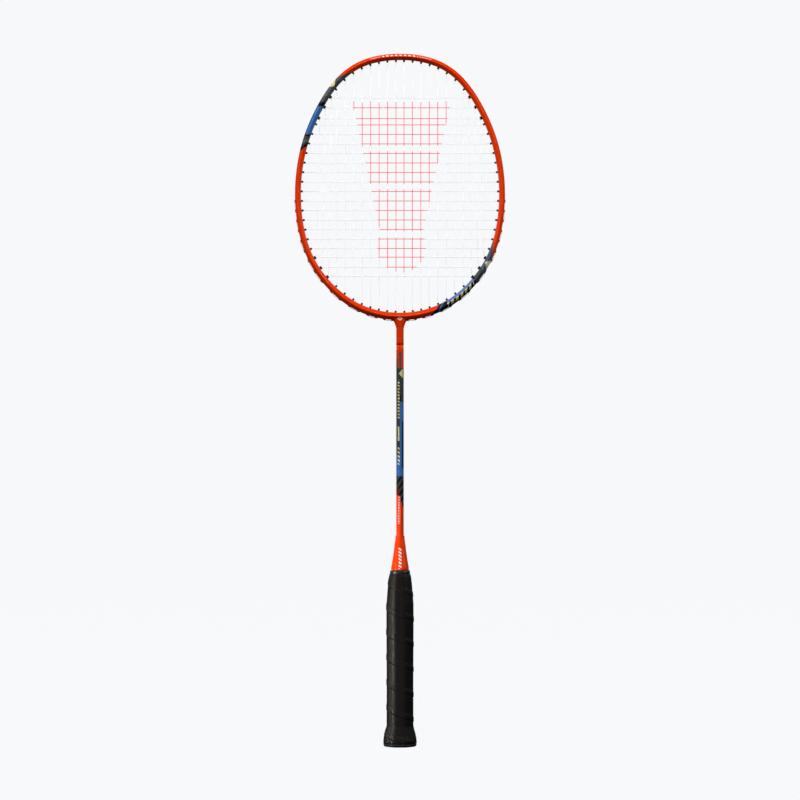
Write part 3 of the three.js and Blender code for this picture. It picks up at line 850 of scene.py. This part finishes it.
def underside(turn, spread):
    """A point of the hoop's underside, spread times the neck's footprint out from its middle."""
    sideways = FILLET_HALF_SPAN * cos(turn) * spread
    angle = PI - sideways / (HOOP_CENTRE_Z - hoop_at(PI)["z"])
    half = hoop_at(angle)["half"]
    corner = Vector((half, SIDE_FLAT))
    ridge = Vector((RIDGE_FLAT, HOOP_HALF_DEPTH))
    slope = (ridge - corner).length
    covered = 0.82
    sunk = 0.03
    distance = abs(sin(turn)) * spread * (SIDE_FLAT + slope * covered)
    if distance < SIDE_FLAT:
        spot = Vector((half, distance))
    else:
        spot = corner.lerp(ridge, (distance - SIDE_FLAT) / slope)
    y = -spot.y if sin(turn) > 0 else spot.y
    return Vector(on_hoop(angle, spot.x - sunk, y))


def neck_shell(shell):
    """The round neck, which flares out to meet the underside of the hoop."""
    sides = 72
    rows = 40
    straight_rows = 6
    rise = 5.0  # pull upward where the flare starts
    reach = 3.0  # pull outward where it meets the hoop
    grid = [[None] * sides for _ in range(rows + 1)]
    for k in range(sides):
        turn = 2 * PI * k / sides
        start = Vector((SHAFT_RADIUS * cos(turn), -SHAFT_RADIUS * sin(turn), FILLET_START))
        end = underside(turn, 1.0)
        leave = Vector((0, 0, 1)) * rise
        arrive = (end - underside(turn, 0.97)).normalized() * reach
        for i in range(rows + 1):
            t = i / rows
            point = (start * (2 * t ** 3 - 3 * t ** 2 + 1) + leave * (t ** 3 - 2 * t ** 2 + t)
                     + end * (3 * t ** 2 - 2 * t ** 3) + arrive * (t ** 3 - t ** 2))
            grid[i][k] = tuple(point)
    heights = [NECK_BOTTOM + (FILLET_START - NECK_BOTTOM) * i / straight_rows
               for i in range(straight_rows)]
    rings = [[(x, y, z) for x, y, _ in grid[0]] for z in heights] + grid
    shell.rings(rings, across=[0.0] * (len(rings) * sides))


def make_frame(material):
    shell = Shell()
    hoop_shell(shell)
    neck_shell(shell)
    shell.stand_for("frame", "frame_paint", "frame_skin", material)


# ---- shaft and handle

def make_shaft(material):
    top = NECK_BOTTOM - HAIRLINE
    r, bore = SHAFT_RADIUS, SHAFT_BORE
    bevel = 0.12
    profile = [(bore, SHAFT_BOTTOM), (r - bevel, SHAFT_BOTTOM), (r, SHAFT_BOTTOM + bevel)]
    steps = 60
    profile += [(r, SHAFT_BOTTOM + bevel + (top - SHAFT_BOTTOM - 2 * bevel) * i / steps)
                for i in range(1, steps + 1)]
    profile += [(r - bevel, top), (bore, top)]
    shell = Shell().rings(turned(profile, 64), looped=True)
    shell.stand_for("shaft", "shaft_paint", "shaft_tube", material)


# Radius and height above the cone's foot
CONE_FLARE = ((8.55, 2.4), (7.55, 8.2), (6.72, 13.6), (6.02, 18.6), (5.4, 24), (4.82, 28), (4.42, 30.6))


def make_cone(material):
    low, high = node_box("cone_cap")
    bottom, top = low[2], high[2]
    wide = high[0]
    rim = 4.3
    bore = SHAFT_RADIUS + 0.06
    outer = [(wide - 0.25, bottom), (wide, bottom + 0.3)]
    outer += [(r, bottom + rise) for r, rise in CONE_FLARE]
    collar = [(rim - 0.02, top - 2.3), (rim + 0.12, top - 2.0), (rim + 0.12, top - 0.5)]
    turns = [PI / 8 * i for i in range(5)]
    lip = [(rim - 0.16 + 0.28 * cos(turn), top - 0.3 + 0.28 * sin(turn)) for turn in turns]
    inner = [(bore, top - 0.02), (bore, top - 3.6), (4.6, top - 8.2), (5.8, top - 19.9),
             (wide - 1.2, bottom)]
    profile = fine(outer + collar + lip, 0.8) + inner
    shell = Shell().rings(turned(profile, 72), looped=True)
    shell.stand_for("cone_cap", "cone_paint", "cone_shell", material)


def fine(profile, step):
    """The same profile with its long straight runs divided."""
    result = [profile[0]]
    for (r0, z0), (r1, z1) in zip(profile, profile[1:]):
        count = max(1, ceil(hypot(r1 - r0, z1 - z0) / step))
        result += [(r0 + (r1 - r0) * i / count, z0 + (z1 - z0) * i / count)
                   for i in range(1, count + 1)]
    return result


# Octagons: height, half-width, half-depth, half-lengths of front and side flats
GRIP_SECTIONS = (
    (3.1, 16.2, 13.9, 7.0, 5.9), (4.6, 16.4, 14.2, 7.1, 6.0), (8.0, 16.1, 13.9, 7.0, 5.9),
    (12.0, 15.2, 13.1, 6.6, 5.6), (16.0, 14.1, 12.5, 6.2, 5.4), (20.0, 13.2, 11.95, 5.85, 5.15),
    (60.0, 13.1, 11.95, 5.85, 5.15), (126.0, 13.4, 12.1, 5.95, 5.2), (139.0, 13.3, 12.0, 5.9, 5.2),
    (158.0, 11.8, 10.9, 5.2, 4.6), (165.6, 10.9, 10.3, 4.7, 4.4), (168.4, 10.0, 9.6, 4.3, 4.1),
    (169.2, 8.9, 8.7, 3.8, 3.7), (171.2, 8.55, 8.35, 3.6, 3.5),
)


def octagon_at(sections, z, corner):
    """Octagon corners at a height, straight between the sections."""
    below = [s for s in sections if s[0] <= z] or [sections[0]]
    above = [s for s in sections if s[0] > z] or [sections[-1]]
    low, high = below[-1], above[0]
    t = 0.0 if high[0] <= low[0] else (z - low[0]) / (high[0] - low[0])
    a, b, front, side = (low[i] + (high[i] - low[i]) * t for i in range(1, 5))
    return [(front, -b, corner), (a, -side, corner), (a, side, corner), (front, b, corner),
            (-front, b, corner), (-a, side, corner), (-a, -side, corner), (-front, -b, corner)]


def octagon_ring(sections, z, sides, corner=GRIP_CORNER, steps=6):
    """Equally spaced points round the rounded octagon at a height."""
    return resample(rounded(octagon_at(sections, z, corner), steps), sides)


def wrap_height(z, turn):
    """How far the wrapped tape stands proud, and how near the point is to a tape edge."""
    part = ((z - WRAP_PHASE) / WRAP_PITCH + turn / (2 * PI)) % 1.0
    climb, overlap, fall, sharp = 0.05, 0.16, 0.1, 0.03  # shares of the pitch
    if part < overlap:
        rise = smooth_step(part / climb)
    else:
        rise = 1 - smooth_step((part - overlap) / fall)
    groove = exp(-((min(part, 1 - part) / sharp) ** 2))
    edge = exp(-(((part - climb) / sharp) ** 2))
    return WRAP_RISE * rise - WRAP_GROOVE * groove, edge


def make_grip(material):
    sides = 160
    step = 0.5
    wall = 1.4
    low, high = node_box("grip_tape")
    bottom, top = low[2] - 0.2, high[2]
    rows = int((top - bottom) / step)
    tape_edge = top - 4.5
    run_out = 3
    rings = []
    edges = []
    for i in range(rows + 1):
        z = bottom + (top - bottom) * i / rows
        fade = smooth_step((z - bottom) / run_out) * smooth_step((tape_edge - z) / run_out)
        ring = []
        for p in octagon_ring(GRIP_SECTIONS, z, sides):
            proud, edge = wrap_height(z, atan2(p.x, -p.y))
            out = p.normalized() * (proud * fade - WRAP_INSET)
            ring.append((p.x + out.x, p.y + out.y, z))
            edges.append(edge * fade)
        rings.append(ring)
    between = [s[0] for s in reversed(GRIP_SECTIONS) if bottom < s[0] < top]
    for z in [top] + between + [bottom]:
        outline = octagon_ring(GRIP_SECTIONS, z, sides)
        rings.append([(*(p - p.normalized() * wall), z) for p in outline])
        edges.extend([0.0] * sides)
    shell = Shell().rings(rings, looped=True, edge=edges)
    shell.stand_for("grip_tape", "grip", "grip_wrap", material)


def make_finishing_tape(material):
    sides = 96
    low, high = node_box("finishing_tape")
    bottom, top = low[2], high[2]
    wide = high[0]
    narrowing = 0.3
    waviness = 0.28
    heights = (bottom, bottom + 0.1, bottom + 1.6, bottom + 1.7, bottom + 3.2, top - 0.1, top)
    swell = (-0.06, 0.0, -0.02, 0.05, 0.03, -0.05, -0.14)
    rings = []
    for z, extra in zip(heights, swell):
        share = (z - bottom) / (top - bottom)
        a = wide - narrowing * share + extra
        ring = []
        for p in octagon_ring(((0, a, a - 0.2, a * 0.43, a * 0.42),), 0, sides, 4.0, 8):
            turn = atan2(p.x, -p.y) + 0.6
            wave = waviness * sin(turn) if z > bottom + 2 else 0.0
            ring.append((p.x, p.y, z + (wave - waviness) * share))
        rings.append(ring)
    for outer in (rings[-1], rings[0]):
        rings.append([(x * 0.94, y * 0.94, z) for x, y, z in outer])
    shell = Shell().rings(rings, looped=True)
    shell.stand_for("finishing_tape", "tape", "finishing_tape_band", material)


def make_butt(cap_material, badge_material):
    """The cap with its recess below and its peg above, and the badge in the recess."""
    sides = 160
    cap_top = node_box("butt_cap")[1][2]
    peg_foot = cap_top - 6.9
    recess = node_box("butt_badge")[1][0] + 0.25
    floor = node_box("butt_badge")[1][2] + 0.1
    # half-width and height of the outside
    outside = ((14.2, 0.0), (14.8, 0.06), (15.3, 0.25), (15.7, 0.6), (15.95, 1.1), (16.15, 1.8),
               (16.2, 3.0))

    def round_ring(radius, z):
        """A circle whose points lie at the same angles as an octagon's."""
        outline = octagon_ring(((0, 15, 13.4, 6.5, 5.6),), 0, sides)
        return [(*(p.normalized() * radius), z) for p in outline]

    hollow = ((0.01, floor), (recess - 0.02, floor), (recess, floor - 0.1), (recess, 0.12),
              (recess + 0.1, 0.0))
    peg = ((4.4, peg_foot), (4.0, peg_foot + 0.4), (4.0, cap_top - 0.4), (3.6, cap_top))
    rings = [round_ring(*spot) for spot in hollow]
    for a, z in outside:
        outline = octagon_ring(((0, a, a * 0.86, a * 0.437, a * 0.364),), 0, sides)
        rings.append([(*p, z) for p in outline])
    rings += [round_ring(*spot) for spot in peg]
    Shell().rings(rings).stand_for("butt_cap", "butt_cap", "butt_cap_shell", cap_material)

    low, high = node_box("butt_badge")
    radius = high[0]
    profile = [(0.01, low[2]), (radius - 0.3, low[2]), (radius - 0.08, low[2] + 0.07),
               (radius, low[2] + 0.25), (radius, high[2])]
    disc = Shell().rings(turned(fine(profile, 1.2), 72))
    disc.stand_for("butt_badge", "badge", "butt_badge_disc", badge_material)


# ---- grommets

def barrel_rings(hole, profile, sides=20):
    """A turned body set along a hole from (radius, distance outward) points."""
    return [[along_hole(hole, out, x, y) for x, y in circle(r, sides)] for r, out in profile]


def barrel_profile(hole, outer_end):
    """The bore from the outside in, and the barrel back from its rounded tip."""
    bore, barrel = hole["size"]["bore"], hole["size"]["barrel"]
    tip = -hole["tip"]
    nose = 0.3
    return [(bore + 0.1, outer_end), (bore, outer_end - 0.15), (bore, tip + 0.2), (bore + 0.12, tip),
            (barrel - nose, tip), (barrel - 0.09, tip + 0.09), (barrel, tip + nose)]


def single_grommet(hole, material):
    """A barrel with a flange of its own on the outside of the frame."""
    flange, barrel = hole["size"]["flange"], hole["size"]["barrel"]
    seat, end = hole["seat"], hole["end"]
    profile = barrel_profile(hole, end)
    profile += [(barrel, seat - 0.6), (flange, seat - 0.45), (flange, seat + 0.1),
                (flange - 0.12, seat + 0.3), (flange - 0.45, end - 0.08), (flange - 0.75, end)]
    hand = "left" if hole["side"] < 0 else "right"
    name = f"{hole['node']}_{hand}"
    shell = Shell().rings(barrel_rings(hole, profile), looped=True)
    shell.stand_for(name, "grommet", f"{name}_moulding", material)


def strip_grommet(name, holes, material):
    """A grooved strip under the string with a barrel through the frame at each hole."""
    side = holes[0]["side"]
    margin = STRIP_OVERHANG / HOOP_SERIES[0]
    start = min(h["angle"] for h in holes) - margin
    end = max(h["angle"] for h in holes) + margin
    steps = 40
    rings = []
    for i in range(steps + 1):
        t = i / steps
        angle = start + (end - start) * t
        taper = min(1.0, 0.35 + 6 * min(t, 1 - t))
        width = STRIP_HALF_WIDTH * sqrt(taper)
        bottom = hoop_at(angle)["half"] - GROOVE_DEPTH - 0.05
        rim, middle = bottom + STRIP_RIM * taper, bottom + STRIP_MIDDLE * taper
        section = rounded([(bottom, -width, 0.1), (rim, -width, 0.25), (middle, 0, 0.3),
                           (rim, width, 0.25), (bottom, width, 0.1)], 3)
        ring = [on_hoop(angle, p.x, p.y) for p in section]
        rings.append([(side * x, y, z) for x, y, z in ring])
    shell = Shell().rings(rings)
    for hole in holes:
        bore, barrel = hole["size"]["bore"], hole["size"]["barrel"]
        profile = barrel_profile(hole, hole["end"])
        profile += [(barrel, hole["seat"]), (barrel + 0.25, hole["end"] - 0.35),
                    (bore + 0.5, hole["end"])]
        shell.rings(barrel_rings(hole, profile), looped=True)
    shell.stand_for(name, "grommet", f"{name}_moulding", material)


def make_grommets(material):
    for side, hand in ((-1, "left"), (1, "right")):
        mains = [pick(side, "top_main", k) for k in range(MAINS_TOP)]
        rows = [pick(side, "cross", k) for k in range(CROSSES)]
        strip = 4
        first_open = SHARED + 2 * strip
        strips = {"top_inner": mains[:strip], "top_outer": mains[strip:], "corner": rows[:SHARED],
                  "side_upper": rows[SHARED:SHARED + strip],
                  "side_lower": rows[SHARED + strip:first_open]}
        for place, holes in strips.items():
            strip_grommet(f"strip_{place}_{hand}", holes, material)
        for hole in rows[first_open:] + [pick(side, "bottom_main", k) for k in range(MAINS_TOP)]:
            single_grommet(hole, material)


# ---- strings

def tube_rings(path, radius, sides=8):
    """Rings round a path, carried along without twisting."""
    points = [Vector(p) for p in path]
    rings = []
    reference = Vector((0, 1, 0))
    for i, point in enumerate(points):
        ahead = points[min(i + 1, len(points) - 1)] - points[max(i - 1, 0)]
        ahead.normalize()
        reference = (reference - ahead * reference.dot(ahead)).normalized()
        other = ahead.cross(reference)
        rings.append([tuple(point + reference * a + other * b) for a, b in circle(radius, sides)])
    return rings


def eased_corners(points, reach, steps=5):
    """The same path with each inner corner turned through a curve."""
    path = [Vector(points[0])]
    for before, here, after in zip(points, points[1:], points[2:]):
        here = Vector(here)
        back = Vector(before) - here
        on = Vector(after) - here
        start = here + back.normalized() * min(reach, back.length * 0.45)
        end = here + on.normalized() * min(reach, on.length * 0.45)
        path += bend(start, here, end, steps)
    path.append(Vector(points[-1]))
    return path


def hole_run(hole, y):
    """Points of a string through a hole, from the bed side outward."""
    across = y - hole["y"]
    inner = Vector(along_hole(hole, -hole["tip"] - 0.1, 0, across))
    outer = Vector(along_hole(hole, hole["end"] + STRING_RADIUS * 0.4, 0, across))
    return inner, outer


def bed_run(first, second, layer, wave):
    """A string across the bed: it leaves each grommet in its own layer and weaves between."""
    start, end = hole_run(first, layer)[0], hole_run(second, layer)[0]
    length = (end - start).length
    settling = 7
    count = int(length / 1.1)
    points = []
    for i in range(1, count):
        t = i / count
        point = start.lerp(end, t)
        woven = smooth_step(min(t, 1 - t) * length / settling)
        point.y = layer * (1 - woven) + wave(point) * woven
        points.append(point)
    return points


def crossing_index(x):
    """Counts mains from the left, smoothly, so that a cross knows its place in the weave."""
    places = [main_x(k) for k in range(MAINS_TOP)] + list(OUTER_MAINS)
    places = [-p for p in reversed(places)] + places
    if x <= places[0]:
        return (x - places[0]) / MAIN_PITCH
    for i, (low, high) in enumerate(zip(places, places[1:])):
        if x <= high:
            return i + (x - low) / (high - low)
    return len(places) - 1 + (x - places[-1]) / MAIN_PITCH


def row_index(z):
    return (CROSS_FIRST - z) / CROSS_PITCH


def threaded(spans, layer, wave):
    """One string's path through pairs of holes, round the outside between them."""
    path = []
    for first, second in spans:
        first_in, first_out = hole_run(first, layer)
        second_in, second_out = hole_run(second, layer)
        path += [first_out, first_in] + bed_run(first, second, layer, wave) + [second_in, second_out]
    start = path[0] + (path[0] - path[1]).normalized() * LOOSE_END
    end = path[-1] + (path[-1] - path[-2]).normalized() * LOOSE_END
    return eased_corners([start] + path + [end], 0.7)


def string_piece(name, node, path, material):
    shell = Shell().rings(tube_rings(path, STRING_RADIUS))
    shell.stand_for(node, "string", name, material)


def make_main_string(material):
    spans = []
    for k in range(MAINS_TOP + SHARED):
        for side in (-1, 1):
            top, bottom = pick(side, "top_main", k), pick(side, "bottom_main", k)
            upward = (k % 2 == 0) == (side < 0)
            span = (bottom, top) if upward else (top, bottom)
            if side < 0:
                spans.insert(0, span)
            else:
                spans.append(span)

    def wave(point):
        crossing = round(crossing_index(point.x))
        return WEAVE * cos(PI * (row_index(point.z) + crossing)) * in_rows(point.z)

    string_piece("main_string_woven", "main_string", threaded(spans, LAYER, wave), material)


def in_rows(z):
    """1 where crosses pass, 0 above the first and below the last."""
    index = row_index(z)
    return smooth_step((index + 0.6) / 0.6) * smooth_step((CROSSES - 0.4 - index) / 0.6)


def make_cross_string(material):
    spans = []
    for k in range(CROSSES):
        ends = (pick(-1, "cross", k), pick(1, "cross", k))
        spans.append(ends if k % 2 == 0 else ends[::-1])

    def wave(point):
        row = round(row_index(point.z))
        return -WEAVE * cos(PI * (crossing_index(point.x) + row))

    string_piece("cross_string_woven", "cross_string", threaded(spans, -LAYER, wave), material)


# ---- stage

def make_stage():
    """A wide floor in the world's own tone, which throws no light on the racket."""
    reach = 9000
    corners = [(-reach, -reach, 0), (reach, -reach, 0), (reach, reach, 0), (-reach, reach, 0)]
    floor = add_mesh("floor", corners, [(0, 1, 2, 3)], floor_paper(), closed=False)
    floor.visible_diffuse = False
    floor.visible_glossy = False


def area_light(name, place, aim_height, size, power, colour=(1, 1, 1), spread=PI):
    data = bpy.data.lights.new(name, "AREA")
    data.shape = "RECTANGLE"
    data.size, data.size_y = size
    data.energy = power
    data.color = colour
    data.spread = spread
    light = add_object(name, data)
    light.location = place
    direction = Vector((0, 0, aim_height)) - Vector(place)
    light.rotation_euler = direction.to_track_quat("-Z", "Y").to_euler()


def make_lights():
    """Soft lights above the front, at the sides, low in front and at the back.

    A narrow warm one picks out the handle's left. Only the camera sees the world.
    """
    area_light("key_above", (-0.15, -1.0, 2.0), 0.54, (1.2, 0.7), 24)
    area_light("side_left", (-1.35, -0.6, 1.07), 0.4, (0.5, 1.3), 12.5)
    area_light("side_right", (1.35, -0.6, 1.07), 0.4, (0.5, 1.3), 11.5)
    area_light("low_front", (0, -1.6, 0.02), 0.5, (1.4, 0.3), 2.0)
    area_light("handle_strip", (-0.45, -0.25, 0.08), 0.08, (0.08, 0.2), 0.36,
               colour=srgb(255, 246, 236)[:3], spread=radians(54))
    area_light("back_left", (-1.2, 1.3, 1.1), 0.4, (0.6, 1.2), 9)
    area_light("back_right", (1.2, 1.3, 1.1), 0.4, (0.6, 1.2), 9)
    world = bpy.data.worlds.new("soft_room")
    world.use_nodes = True
    background = world.node_tree.nodes["Background"]
    background.inputs["Color"].default_value = PAPER
    background.inputs["Strength"].default_value = PAPER_GLOW
    world.cycles_visibility.diffuse = False
    world.cycles_visibility.glossy = False
    scene.world = world
    scene.view_settings.view_transform = "Standard"


def make_camera():
    """Level, square to the front, far enough back for little perspective."""
    distance = 2.5
    seen_width = 0.7803
    data = bpy.data.cameras.new("front_camera")
    data.sensor_width = 36
    data.lens = 36 * distance / seen_width
    camera = add_object("front_camera", data)
    low, high = CAD_BOX
    camera.location = (0, -distance, (low[2] + high[2]) / 2)
    camera.rotation_euler = (PI / 2, 0, 0)
    scene.camera = camera


def dress_inner_parts():
    """The pieces that stay as CAD solids inside the racket get their own finish."""
    inner = {"t_joint": raw_carbon(), "handle_core": pale_wood(), "grip_staple": staple_steel()}
    for node, material in inner.items():
        piece = bpy.data.objects[node]
        piece.data.materials.clear()
        piece.data.materials.append(material)


make_camera()
make_frame(frame_paint())
make_shaft(shaft_paint())
make_cone(cone_paint())
make_grip(grip_leather())
make_finishing_tape(vinyl_tape())
make_butt(cap_plastic(), badge_print())
make_grommets(black_nylon())
strings = string_nylon()
make_main_string(strings)
make_cross_string(strings)
dress_inner_parts()
make_stage()
make_lights()
